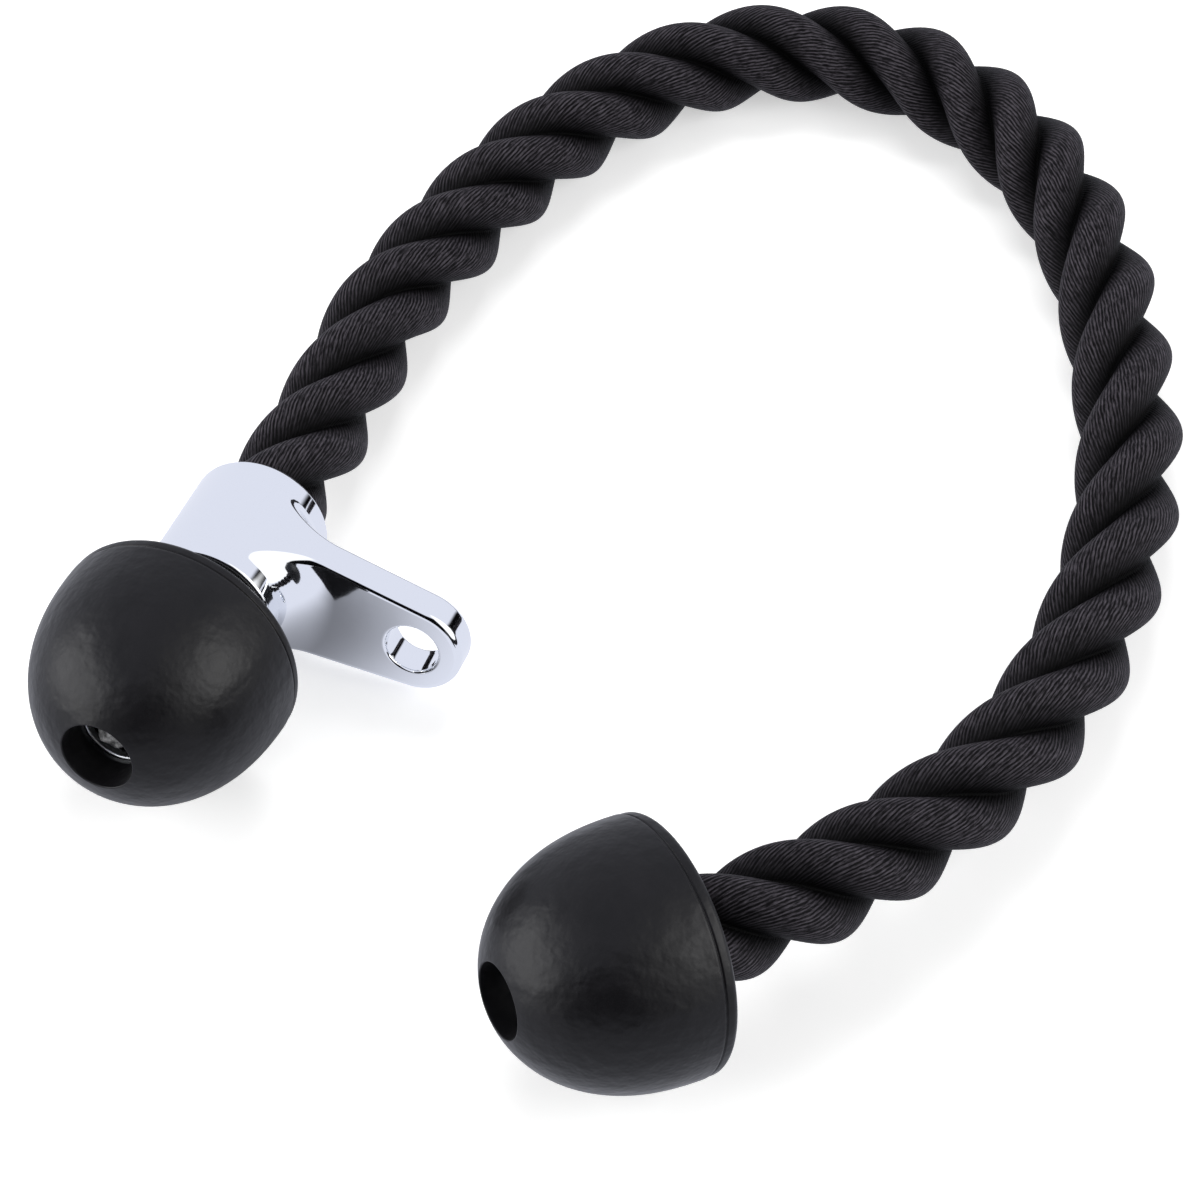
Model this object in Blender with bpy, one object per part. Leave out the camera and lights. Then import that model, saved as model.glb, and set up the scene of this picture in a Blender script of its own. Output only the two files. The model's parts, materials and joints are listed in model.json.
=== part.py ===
"""Triceps rope attachment: a thick three-strand rope lying in an open loop, a hollow rubber ball
on each end, and a chromed cast bracket with a round eye that turns and slides on the rope.

Lengths are metres, +Z is up and the part rests on z = 0. The plan numbers below are read from
ball 1: its back face is at plan zero, and the straight stretch of the rope leaves it along +Y.
ORIGIN is then taken off, so that the part's own zero is the bottom centre of its hard pieces.
"""

import math

import bmesh
import bpy
from mathutils import Matrix, Vector

# Where the part's zero lies in the plan numbers.
ORIGIN = (0.06377, -0.01156, 0.0)

# Rope: a plain tube here. The route is its free line, read from ball 1's back to ball 2's back.
# Inside each ball it goes on along the ball's axis, at these shares of the depth of its end.
ROPE_DIAMETER = 0.0270
ROUTE = (
    (0.0000, 0.0090, 0.0293), (0.0000, 0.0155, 0.02816), (0.0000, 0.0355, 0.02466),
    (0.0000, 0.0600, 0.02037), (0.0000, 0.0840, 0.01617), (0.0000, 0.0940, 0.0148),
    (0.0000, 0.1050, 0.0140), (0.0000, 0.1180, 0.0137), (0.0006, 0.1350, 0.0137),
    (0.0063, 0.1650, 0.0137), (0.0141, 0.1930, 0.0137), (0.0250, 0.2195, 0.0137),
    (0.0400, 0.2420, 0.0137), (0.0595, 0.2590, 0.0137), (0.0830, 0.2676, 0.0137),
    (0.1080, 0.2666, 0.0137), (0.1327, 0.2552, 0.0137), (0.1546, 0.2352, 0.0137),
    (0.1720, 0.2093, 0.0137), (0.1850, 0.1806, 0.0137), (0.1950, 0.1513, 0.0137),
    (0.2000, 0.1216, 0.0138), (0.2007, 0.0920, 0.0143), (0.1973, 0.0640, 0.0157),
    (0.1895, 0.0380, 0.0178), (0.1786, 0.0154, 0.0204), (0.1660, -0.0052, 0.0234),
    (0.1509, -0.0250, 0.0274), (0.1401, -0.0369, 0.02959),
)
IN_BALL_SHARES = (1.0, 0.545, 0.105)
ROUTE_STEPS = 2  # points read from the smooth curve between two route points
ROPE_SIDES = 12

# The two balls: middle of the back face, plan heading from back face to hole, and upward tilt.
BALL_1_BACK = (0.0003, 0.0041, 0.03016)
BALL_1_HEADING = math.radians(-93.8)
BALL_1_TILT = math.radians(9.5)
BALL_2_BACK = (0.1368, -0.0403, 0.03029)
BALL_2_HEADING = math.radians(-133.5)
BALL_2_TILT = math.radians(8.0)

# Ball. The dome runs from its lip to the hole: (share of the length, share of the way out from
# the hole's edge to the ball's full radius).
BALL_RADIUS = 0.0310
BALL_LENGTH = 0.0434
DOME_SHARES = (
    (0.134, 1.000), (0.219, 0.986), (0.327, 0.959), (0.438, 0.918), (0.546, 0.864),
    (0.645, 0.786), (0.733, 0.682), (0.809, 0.559), (0.873, 0.427), (0.926, 0.291),
    (0.968, 0.155), (0.991, 0.064), (0.998, 0.023),
)
LIP_STEP = 0.0002
LIP_ROUND = 0.0016
LIP_WIDTH = 0.0027
LIP_GROOVE = 0.0005
HOLE_RADIUS = 0.0090
FRONT_WALL = 0.0100
BALL_SIDES = 44

# Fits.
ROPE_FIT = 0.0003
LINER_FIT = 0.0003
BORE_FIT = 0.0006
STOP_GAP = 0.0003

# Pieces inside a ball.
FERRULE_LENGTH = 0.0140
FERRULE_WALL = 0.0018
FERRULE_CRIMP = 0.0006
FERRULE_ROOM = 0.0012
ROPE_STANDS_OUT = 0.0012
WASHER_THICKNESS = 0.0020
WASHER_HOLE_RADIUS = 0.0084
WASHER_RIM_FIT = 0.0004
FUSED_GAP = 0.0005
FUSED_LENGTH = 0.0018
FUSED_LOBE_RADIUS = 0.0050
FUSED_LOBE_OFFSET = 0.0050

# Bracket frame: a point on the straight stretch, its fall, and the droop of the eye below level.
BRACKET_PLACE = (0.0000, 0.0351, 0.02473)
FALL_PER_RUN = 0.175
EYE_DROOP = math.radians(9.5)

# Liner bush between rope and bracket.
LINER_WALL = 0.0010
LINER_FLANGE = 0.0009
LINER_FLANGE_REACH = 0.0015

# Bracket: one casting, a sleeve round the liner and a flat lug square to the rope.
SLEEVE_WALL = 0.0024
SLEEVE_HALF_LENGTH = 0.0184
SLEEVE_ROUND = 0.0008
SLEEVE_SIDES = 64
EYE_REACH = 0.0488
EYE_RADIUS = 0.00675
EYE_CHAMFER = 0.0008
HEAD_RADIUS = 0.0125
LUG_HALF_THICKNESS = 0.0045
LUG_ROUND = 0.0016
ROOT_FILLET = 0.0110
ROOT_HALF_ANGLE = math.radians(76.0)
ROOT_INSET = 0.0002

# Lengths that follow from those above.
ROPE_RADIUS = ROPE_DIAMETER / 2
WASHER_BACK = BALL_LENGTH - FRONT_WALL - STOP_GAP - WASHER_THICKNESS
FUSED_BACK = WASHER_BACK - FUSED_GAP - FUSED_LENGTH
ROPE_END_DEPTH = FUSED_BACK - STOP_GAP
FERRULE_BACK = ROPE_END_DEPTH - ROPE_STANDS_OUT - FERRULE_LENGTH
BACK_WALL = FERRULE_BACK - STOP_GAP
FERRULE_OUTSIDE = ROPE_RADIUS + ROPE_FIT + FERRULE_WALL
CHAMBER_RADIUS = FERRULE_OUTSIDE + FERRULE_ROOM
LINER_BORE = ROPE_RADIUS + ROPE_FIT
LINER_OUTSIDE = LINER_BORE + LINER_WALL
SLEEVE_BORE = LINER_OUTSIDE + LINER_FIT
SLEEVE_RADIUS = SLEEVE_BORE + SLEEVE_WALL
WIRE = "WIRE"

# The lug stands this share of its rounding inside the sleeve, so that the two cross cleanly.
SLEEVE_WALL_SHARE = 0.20


def clear_scene():
    for obj in list(bpy.data.objects):
        bpy.data.objects.remove(obj, do_unlink=True)


def material(name, colour, metallic, roughness):
    made = bpy.data.materials.new(name)
    made.use_nodes = True
    shader = made.node_tree.nodes["Principled BSDF"]
    shader.inputs["Base Color"].default_value = (*colour, 1.0)
    shader.inputs["Metallic"].default_value = metallic
    shader.inputs["Roughness"].default_value = roughness
    return made


def plan(point):
    """A point given in plan numbers, in the part's own frame."""
    return Vector(point) - Vector(ORIGIN)


def frame_on(point, axis, across):
    """A frame at the point with its Z along the axis and its X as near across as it can be."""
    z = Vector(axis).normalized()
    x = (Vector(across) - z * Vector(across).dot(z)).normalized()
    y = z.cross(x)
    turned = Matrix((x, y, z)).transposed().to_4x4()
    return Matrix.Translation(plan(point)) @ turned


def add_mesh(name, bm, frame, look):
    mesh = bpy.data.meshes.new(name)
    bmesh.ops.recalc_face_normals(bm, faces=bm.faces)
    bm.to_mesh(mesh)
    bm.free()
    obj = bpy.data.objects.new(name, mesh)
    bpy.context.collection.objects.link(obj)
    obj.matrix_world = frame
    if look:
        mesh.materials.append(look)
    return obj


def lathe(name, outline, sides, frame, look, start=0.0, turn=2 * math.pi):
    """Turns a closed outline of (along Z, radius) about Z, whole or through part of a turn."""
    bm = bmesh.new()
    whole = turn > 2 * math.pi - 1e-6
    count = sides if whole else sides + 1
    rings = []
    for i in range(count):
        angle = start + turn * i / sides
        rings.append([bm.verts.new((r * math.cos(angle), r * math.sin(angle), z)) for z, r in outline])
    around = len(outline)
    for i in range(sides):
        near, far = rings[i], rings[(i + 1) % count]
        for j in range(around):
            k = (j + 1) % around
            bm.faces.new((near[j], near[k], far[k], far[j]))
    if not whole:
        bm.faces.new(rings[0])
        bm.faces.new(rings[-1])
    return add_mesh(name, bm, frame, look)


def prism(name, outline, low, high, frame, look=None):
    """Extrudes a closed outline of (x, y) from low to high along Z."""
    bm = bmesh.new()
    bottom = [bm.verts.new((x, y, low)) for x, y in outline]
    top = [bm.verts.new((x, y, high)) for x, y in outline]
    bm.faces.new(bottom)
    bm.faces.new(top)
    for i in range(len(outline)):
        j = (i + 1) % len(outline)
        bm.faces.new((bottom[i], bottom[j], top[j], top[i]))
    return add_mesh(name, bm, frame, look)


def combine(obj, other, operation):
    """Adds an exact Boolean with a helper that isn't itself a piece."""
    other.hide_render = True
    other.display_type = WIRE
    step = obj.modifiers.new(operation.title() + "_" + other.name, "BOOLEAN")
    step.operation = operation
    step.solver = "EXACT"
    step.object = other


def arc(middle, radius, first, last, steps):
    return [
        (middle[0] + radius * math.cos(first + (last - first) * i / steps),
         middle[1] + radius * math.sin(first + (last - first) * i / steps))
        for i in range(steps + 1)
    ]


def smooth_route(route, steps):
    """Points of a chord-length curve through the route, read a few times on each stretch."""
    points = [Vector(p) for p in route]
    first = points[0] * 2 - points[1]
    last = points[-1] * 2 - points[-2]
    points = [first, *points, last]
    out = []
    for i in range(1, len(points) - 2):
        p0, p1, p2, p3 = points[i - 1: i + 3]
        d0, d1, d2 = (p1 - p0).length, (p2 - p1).length, (p3 - p2).length
        m1 = ((p1 - p0) / d0 - (p2 - p0) / (d0 + d1) + (p2 - p1) / d1) * d1
        m2 = ((p2 - p1) / d1 - (p3 - p1) / (d1 + d2) + (p3 - p2) / d2) * d1
        for j in range(steps):
            t = j / steps
            out.append(
                p1 * (2 * t**3 - 3 * t**2 + 1) + m1 * (t**3 - 2 * t**2 + t)
                + p2 * (3 * t**2 - 2 * t**3) + m2 * (t**3 - t**2)
            )
    out.append(Vector(route[-1]))
    return out


def rope_route(ball_1, ball_2):
    """The rope's line in the part's own frame, from its end in ball 1 to its end in ball 2."""
    depths = [ROPE_END_DEPTH * share for share in IN_BALL_SHARES]
    start = [ball_1 @ Vector((0.0, 0.0, depth)) for depth in depths]
    end = [ball_2 @ Vector((0.0, 0.0, depth)) for depth in reversed(depths)]
    return [*start, *[plan(point) for point in ROUTE], *end]


def make_rope(route):
    curve = bpy.data.curves.new("rope", "CURVE")
    curve.dimensions = "3D"
    curve.bevel_depth = ROPE_RADIUS
    curve.bevel_resolution = (ROPE_SIDES - 4) // 2
    curve.use_fill_caps = True
    points = smooth_route(route, ROUTE_STEPS)
    spline = curve.splines.new("POLY")
    spline.points.add(len(points) - 1)
    for target, point in zip(spline.points, points):
        target.co = (*point, 1.0)
    curve.materials.append(material("laid_black_rope", (0.012, 0.012, 0.013), 0.0, 0.75))
    rope = bpy.data.objects.new("rope", curve)
    bpy.context.collection.objects.link(rope)


def ball_frame(back, heading, tilt):
    flat = math.cos(tilt)
    axis = (flat * math.cos(heading), flat * math.sin(heading), math.sin(tilt))
    return frame_on(back, axis, (-math.sin(heading), math.cos(heading), 0.0))


def make_ball(name, frame):
    """A hollow rubber ball: rope bore at the back, chamber in the middle, open hole in front."""
    edge = BALL_RADIUS - LIP_STEP
    groove = BALL_RADIUS - LIP_GROOVE
    lip = arc((LIP_ROUND, edge - LIP_ROUND), LIP_ROUND, math.pi, math.pi / 2, 3)
    lip += [
        (LIP_WIDTH, edge), (LIP_WIDTH + LIP_GROOVE, groove),
        (LIP_WIDTH + 2 * LIP_GROOVE, groove), (LIP_WIDTH + 3 * LIP_GROOVE, BALL_RADIUS),
    ]
    swell = BALL_RADIUS - HOLE_RADIUS
    dome = [(along * BALL_LENGTH, HOLE_RADIUS + out * swell) for along, out in DOME_SHARES]
    bore = ROPE_RADIUS + BORE_FIT
    front = BALL_LENGTH - FRONT_WALL
    inside = [
        (BALL_LENGTH, HOLE_RADIUS), (front, HOLE_RADIUS), (front, CHAMBER_RADIUS),
        (BACK_WALL, CHAMBER_RADIUS), (BACK_WALL, bore), (0.0, bore),
    ]
    look = material(name + "_black_rubber", (0.020, 0.020, 0.022), 0.0, 0.55)
    lathe(name, [*lip, *dome, *inside], BALL_SIDES, frame, look)


def make_ferrule(name, frame):
    """A steel sleeve crimped round the rope in two places, so it can't pass the rubber's bore."""
    inner = ROPE_RADIUS + ROPE_FIT
    outer = FERRULE_OUTSIDE
    low = FERRULE_BACK
    high = low + FERRULE_LENGTH
    first = low + FERRULE_LENGTH / 4
    second = low + FERRULE_LENGTH * 3 / 4
    half = FERRULE_LENGTH / 12
    outline = [(low, inner), (low, outer)]
    for middle in (first, second):
        outline += [
            (middle - half, outer), (middle - half / 2, outer - FERRULE_CRIMP),
            (middle + half / 2, outer - FERRULE_CRIMP), (middle + half, outer),
        ]
    outline += [(high, outer), (high, inner)]
    lathe(name, outline, BALL_SIDES, frame, material(name + "_crimped_steel", (0.45, 0.45, 0.46), 1.0, 0.35))


def make_washer(name, frame):
    """A plain steel washer that seats against the front wall of the chamber."""
    low = WASHER_BACK
    top = low + WASHER_THICKNESS
    rim = CHAMBER_RADIUS - WASHER_RIM_FIT
    edge = WASHER_THICKNESS / 4
    outline = [
        (low, WASHER_HOLE_RADIUS), (low, rim), (top - edge, rim), (top, rim - edge),
        (top, WASHER_HOLE_RADIUS + edge), (top - edge, WASHER_HOLE_RADIUS),
    ]
    lathe(name, outline, BALL_SIDES, frame, material(name + "_zinc_steel", (0.55, 0.55, 0.56), 1.0, 0.30))


def make_fused_end(name, frame):
    """The melted end of the rope: three round lobes, one for each strand."""
    outline = []
    meet = math.radians(120.0)
    spread = math.radians(112.0)
    for i in range(3):
        heading = meet * i
        middle = (FUSED_LOBE_OFFSET * math.cos(heading), FUSED_LOBE_OFFSET * math.sin(heading))
        outline += arc(middle, FUSED_LOBE_RADIUS, heading - spread, heading + spread, 10)
    look = material(name + "_melted_fibre", (0.09, 0.09, 0.09), 0.0, 0.40)
    prism(name, outline, FUSED_BACK, FUSED_BACK + FUSED_LENGTH, frame, look)


def bracket_frame():
    axis = Vector((0.0, 1.0, -FALL_PER_RUN)).normalized()
    level = Vector((1.0, 0.0, 0.0))
    down = axis.cross(level)
    across = level * math.cos(EYE_DROOP) + down * math.sin(EYE_DROOP)
    return frame_on(BRACKET_PLACE, axis, across)


def make_liner(frame):
    """A thin black bush with a small flange at each mouth of the sleeve."""
    inner = SLEEVE_HALF_LENGTH + STOP_GAP
    outer = inner + LINER_FLANGE
    rim = LINER_OUTSIDE + LINER_FLANGE_REACH
    outline = [
        (-outer, LINER_BORE), (-outer, rim), (-inner, rim), (-inner, LINER_OUTSIDE),
        (inner, LINER_OUTSIDE), (inner, rim), (outer, rim), (outer, LINER_BORE),
    ]
    lathe("collar_liner", outline, SLEEVE_SIDES, frame, material("liner_black_nylon", (0.01, 0.01, 0.01), 0.0, 0.5))


def lug_outline(inset=0.0):
    """The lug seen along the rope: the belt round sleeve and head circles, drawn in by the inset."""
    turn = math.pi / 2 - math.asin((SLEEVE_RADIUS - HEAD_RADIUS) / EYE_REACH)
    head = arc((EYE_REACH, 0.0), HEAD_RADIUS - inset, -turn, turn, 20)
    back = arc((0.0, 0.0), SLEEVE_RADIUS - inset, turn, 2 * math.pi - turn, 24)
    return [*head, *back]


def loft(name, layers, frame):
    """Joins closed outlines of the same number of points, each at its own height, bottom to top."""
    bm = bmesh.new()
    rings = [[bm.verts.new((x, y, z)) for x, y in outline] for z, outline in layers]
    for near, far in zip(rings, rings[1:]):
        for i in range(len(near)):
            j = (i + 1) % len(near)
            bm.faces.new((near[i], near[j], far[j], far[i]))
    bm.faces.new(rings[0])
    bm.faces.new(rings[-1])
    return add_mesh(name, bm, frame, None)


def lug_body(frame):
    """The flat lug with its edge rounded over on both faces."""
    steps = 3
    layers = []
    for i in range(steps + 1):
        angle = math.pi / 2 * i / steps
        layers.append((
            LUG_HALF_THICKNESS - LUG_ROUND + LUG_ROUND * math.sin(angle),
            lug_outline(SLEEVE_WALL_SHARE * LUG_ROUND + LUG_ROUND * (1 - math.cos(angle))),
        ))
    lower = [(-z, outline) for z, outline in reversed(layers)]
    return loft("cut_lug", lower + layers, frame)


def root_fillet(frame):
    """The cast radius between the lug's faces and the sleeve, trimmed to the lug's own outline."""
    start = (SLEEVE_BORE + SLEEVE_RADIUS) / 2
    far = LUG_HALF_THICKNESS + ROOT_FILLET
    inset = LUG_HALF_THICKNESS / 2
    steps = 6
    curve = []
    for i in range(steps + 1):
        angle = math.pi / 2 * i / steps
        curve.append((far - ROOT_FILLET * math.sin(angle), SLEEVE_RADIUS + ROOT_FILLET * (1 - math.cos(angle))))
    outer = SLEEVE_RADIUS + ROOT_FILLET
    outline = [
        (-far, start), *[(-z, r) for z, r in curve], (-inset, outer), (inset, outer),
        *reversed(curve), (far, start),
    ]
    body = lathe("cut_root_fillet", outline, 30, frame, None, -ROOT_HALF_ANGLE, 2 * ROOT_HALF_ANGLE)
    trim = lug_outline(ROOT_INSET + SLEEVE_WALL_SHARE * LUG_ROUND)
    sheet = prism("cut_root_outline", trim, -far * 2, far * 2, frame)
    combine(body, sheet, "INTERSECT")
    return body


def disc(name, radius, middle, half, sides, frame):
    return prism(name, arc(middle, radius, 0.0, 2 * math.pi * (1 - 1 / sides), sides - 1), -half, half, frame)


def eye_cutter(frame):
    """A round hole whose mouths are chamfered on both faces of the lug."""
    deep = LUG_HALF_THICKNESS
    sides = 40
    stations = (
        (-deep - EYE_CHAMFER, EYE_RADIUS + 2 * EYE_CHAMFER), (-deep + EYE_CHAMFER, EYE_RADIUS),
        (deep - EYE_CHAMFER, EYE_RADIUS), (deep + EYE_CHAMFER, EYE_RADIUS + 2 * EYE_CHAMFER),
    )
    last = 2 * math.pi * (1 - 1 / sides)
    return loft("cut_eye", [(z, arc((EYE_REACH, 0.0), r, 0.0, last, sides - 1)) for z, r in stations], frame)


def make_bracket(frame):
    look = material("bracket_chrome", (0.78, 0.79, 0.82), 1.0, 0.12)
    half = SLEEVE_HALF_LENGTH
    rim = SLEEVE_ROUND
    outer = SLEEVE_RADIUS
    wall = [
        (-half, SLEEVE_BORE), (-half, outer - rim), (-half + rim / 3, outer - rim / 3),
        (-half + rim, outer), (half - rim, outer), (half - rim / 3, outer - rim / 3),
        (half, outer - rim), (half, SLEEVE_BORE),
    ]
    bracket = lathe("eye_bracket", wall, SLEEVE_SIDES, frame, look)
    body = root_fillet(frame)
    combine(body, lug_body(frame), "UNION")
    core = disc("cut_core", (SLEEVE_BORE + outer) / 2 - ROOT_INSET, (0.0, 0.0), half * 2, 48, frame)
    combine(body, core, "DIFFERENCE")
    combine(bracket, body, "UNION")
    combine(bracket, eye_cutter(frame), "DIFFERENCE")


def show_places(frames):
    """Prints the places that the record needs, in the part's own frame."""
    for name, frame in frames.items():
        place = [round(value, 5) for value in frame.translation]
        axis = [round(frame[row][2], 5) for row in range(3)]
        across = [round(frame[row][0], 5) for row in range(3)]
        print(name, "place", place, "axis", axis, "across", across)
    bracket = frames["bracket"]
    for side in (-1, 1):
        face = bracket @ Vector((EYE_REACH, 0.0, side * LUG_HALF_THICKNESS))
        print("eye face", side, [round(value, 5) for value in face])


def main():
    clear_scene()
    ball_1 = ball_frame(BALL_1_BACK, BALL_1_HEADING, BALL_1_TILT)
    ball_2 = ball_frame(BALL_2_BACK, BALL_2_HEADING, BALL_2_TILT)
    bracket = bracket_frame()
    make_rope(rope_route(ball_1, ball_2))
    for number, frame in ((1, ball_1), (2, ball_2)):
        make_ball("ball_%d" % number, frame)
        make_ferrule("ferrule_%d" % number, frame)
        make_washer("washer_%d" % number, frame)
        make_fused_end("fused_end_%d" % number, frame)
    make_liner(bracket)
    make_bracket(bracket)
    show_places({"ball_1": ball_1, "ball_2": ball_2, "bracket": bracket})


main()
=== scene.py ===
import json
import math

import bpy
import numpy as np
from mathutils import Matrix

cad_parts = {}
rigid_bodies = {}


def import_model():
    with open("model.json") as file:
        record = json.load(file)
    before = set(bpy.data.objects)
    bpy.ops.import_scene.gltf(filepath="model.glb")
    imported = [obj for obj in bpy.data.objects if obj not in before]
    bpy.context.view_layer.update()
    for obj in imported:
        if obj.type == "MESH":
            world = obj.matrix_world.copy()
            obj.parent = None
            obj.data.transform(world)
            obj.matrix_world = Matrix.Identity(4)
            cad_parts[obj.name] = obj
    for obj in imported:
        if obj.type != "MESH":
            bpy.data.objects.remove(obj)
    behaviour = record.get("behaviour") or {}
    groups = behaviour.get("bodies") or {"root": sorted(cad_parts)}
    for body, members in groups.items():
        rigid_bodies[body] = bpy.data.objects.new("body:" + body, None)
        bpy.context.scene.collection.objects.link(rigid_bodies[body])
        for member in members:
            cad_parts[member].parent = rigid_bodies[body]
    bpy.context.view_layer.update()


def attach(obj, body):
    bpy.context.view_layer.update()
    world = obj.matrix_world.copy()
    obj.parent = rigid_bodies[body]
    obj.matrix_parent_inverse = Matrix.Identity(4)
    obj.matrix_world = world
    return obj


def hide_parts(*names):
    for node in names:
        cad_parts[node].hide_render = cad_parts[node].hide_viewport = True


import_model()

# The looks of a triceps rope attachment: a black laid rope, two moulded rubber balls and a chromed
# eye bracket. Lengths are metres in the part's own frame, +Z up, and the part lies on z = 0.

MM = 0.001

# Rope and its line. Plan numbers start beside ball 1's back, and ORIGIN is taken off them.
ORIGIN = np.array((0.06377, -0.01156, 0.0))
ROPE_RADIUS = 13.5 * MM
ROPE_END_DEPTH = 28.5 * MM   # in a ball, from its back
IN_BALL_SHARES = np.array((1.0, 0.545, 0.105))   # of that depth, where the line has points
ROUTE = (
    (0.0000, 0.0090, 0.0293), (0.0000, 0.0155, 0.02816), (0.0000, 0.0355, 0.02466),
    (0.0000, 0.0600, 0.02037), (0.0000, 0.0840, 0.01617), (0.0000, 0.0940, 0.0148),
    (0.0000, 0.1050, 0.0140), (0.0000, 0.1180, 0.0137), (0.0006, 0.1350, 0.0137),
    (0.0063, 0.1650, 0.0137), (0.0141, 0.1930, 0.0137), (0.0250, 0.2195, 0.0137),
    (0.0400, 0.2420, 0.0137), (0.0595, 0.2590, 0.0137), (0.0830, 0.2676, 0.0137),
    (0.1080, 0.2666, 0.0137), (0.1327, 0.2552, 0.0137), (0.1546, 0.2352, 0.0137),
    (0.1720, 0.2093, 0.0137), (0.1850, 0.1806, 0.0137), (0.1950, 0.1513, 0.0137),
    (0.2000, 0.1216, 0.0138), (0.2007, 0.0920, 0.0143), (0.1973, 0.0640, 0.0157),
    (0.1895, 0.0380, 0.0178), (0.1786, 0.0154, 0.0204), (0.1660, -0.0052, 0.0234),
    (0.1509, -0.0250, 0.0274), (0.1401, -0.0369, 0.02959),
)

# Strands, and their lay as read from the notches along the rope's outline in the photograph.
STRANDS = 3
STRAND_RADIUS = 6.9 * MM
STRAND_CENTRE = ROPE_RADIUS - STRAND_RADIUS
LAY_START = math.radians(88.4)   # the strands' turn at LAY_ZERO
LAY_ZERO = 33.4 * MM   # from the rope's end in ball 1, and LAYS counts from here
LAYS = np.array((
    (120, 83.2), (140, 71.3), (370, 71.3), (390, 81.4), (600, 81.4), (620, 71.3),
)) * MM   # length along the rope, and the lay there
YARN_SHIFT = 0.31   # pattern between one strand and the next, so that no two strands look alike

# Balls: the back's middle, the axis' heading in the plan and its tilt up, in degrees.
BALLS = {
    "1": ((0.0003, 0.0041, 0.03016), -93.8, 9.5),
    "2": ((0.1368, -0.0403, 0.03029), -133.5, 8.0),
}
BALL_RADIUS = 31.0 * MM
BALL_LENGTH = 43.4 * MM
LIP_STEP = 0.2 * MM
LIP_ROUND = 1.6 * MM
LIP_WIDTH = 2.7 * MM
LIP_GROOVE = 0.5 * MM
LIP_GROOVE_DEPTH = 0.8 * LIP_GROOVE
HOLE_RADIUS = 9.0 * MM
HOLE_ROUND = 0.3 * MM
HOLE_RIM = 1.35 * HOLE_ROUND   # from the hole's wall out to where the dome ends
DOME_START = LIP_WIDTH + 3 * LIP_GROOVE
DOME_TIP = 45.1 * MM
DOME_POWER = 2.29
FRONT_WALL = 10.0 * MM
BACK_WALL = 13.0 * MM
CHAMBER_RADIUS = 16.8 * MM
BORE_RADIUS = ROPE_RADIUS + 0.6 * MM
BORE_BREAK = 0.6 * MM

# Washers and melted rope ends, from a ball's back.
WASHER_BACK = 31.1 * MM
WASHER_THICKNESS = 2.0 * MM
WASHER_HOLE = 8.4 * MM
WASHER_RIM = 16.4 * MM
FUSED_BACK = 28.8 * MM
FUSED_LENGTH = 1.8 * MM
FUSED_LOBE = 5.0 * MM
FUSED_SWELL = 4.0 * MM
FUSED_SLOPE = 2.0 * MM   # width over which the swell rises inside the washer's hole

# Bracket, along and across its sleeve.
BRACKET_PLACE = (0.0000, 0.0351, 0.02473)
FALL_PER_RUN = 0.175
EYE_DROOP = math.radians(9.5)
SLEEVE_BORE = 15.1 * MM
SLEEVE_RADIUS = 17.5 * MM
SLEEVE_HALF_LENGTH = 18.4 * MM
SLEEVE_ROUND = 0.8 * MM
LUG_HALF = 4.5 * MM
LUG_ROUND = 1.6 * MM
ROOT_FILLET = 11.0 * MM
EYE_REACH = 48.8 * MM
EYE_RADIUS = 6.75 * MM
EYE_CHAMFER = 0.8 * MM
HEAD_RADIUS = 12.5 * MM

# Where the lug ends inside the sleeve's wall: how deep, and how far round in degrees.
LUG_END = SLEEVE_RADIUS - 0.8 * MM
BELT_SINK = 0.02 * MM
BELT_PAST = 20 * BELT_SINK
ROOT_SINK = 0.25 * MM
ROOT_TURN = 50
ROOT_RIM = 0.1   # share of the edge's rounding that is left there

# Liner.
LINER_BORE = 13.8 * MM
LINER_OUTSIDE = 14.8 * MM
LINER_FLANGE_RADIUS = 16.3 * MM
LINER_FLANGE = 0.9 * MM
STOP_GAP = 0.3 * MM

# Fineness of the surfaces: points along, round or across each form.
PATH_STEPS, QUICK_PATH_STEPS = 32, 8
STRAND_STEPS = 30
BALL_SIDES, LINER_SIDES, SLEEVE_SIDES, WASHER_SIDES = 192, 192, 256, 96
BALL_STEP = 1.5 * MM
DOME_STEPS = 80
LIP_POINTS, DIP_POINTS, MOUTH_POINTS = 10, 13, 9
EDGE_POINTS, SOFT_POINTS = 9, 5
EYE_POINTS, WALL_POINTS, BORE_POINTS = 8, 8, 7
FUSED_RINGS, FUSED_SIDES = 26, 144
HEAD_STEPS, BELT_STEPS, CHORD_STEPS, BOW_STEPS = 40, 76, 28, 56
FACE_STEPS, FACE_SAMPLES = 92, 900

# Camera: a long lens, 50 degrees down. Its places are in plan numbers too.
CAMERA_PLACE = np.array((0.2938, -0.5448, 0.7814))
CAMERA_RIGHT = np.array((0.9455, 0.3256, 0.0))
CAMERA_UP = np.array((-0.2494, 0.7243, 0.6428))
CAMERA_LENS, CAMERA_SENSOR = 123.0, 36.0

# What mirrors see: a backdrop and a screen in these directions, the side that the screen stops at,
# and the spot of the floor under ball 1's back, round which mirrors see a painted shadow.
BACKDROP_TOWARD = (-0.587, 0.492, 0.643)
SCREEN_TOWARD = (0.88, 0.06, 0.47)
SCREEN_EDGE = (0.695, -0.719, 0.0)
SCREEN_BRIGHT = (1.25, 1.25, 1.25, 1)
BALL_SHADE = (-0.062, 0.016, 0.0)
LILAC_WHITE = "#edf0fc"
WHITE = (1, 1, 1, 1)

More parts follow.
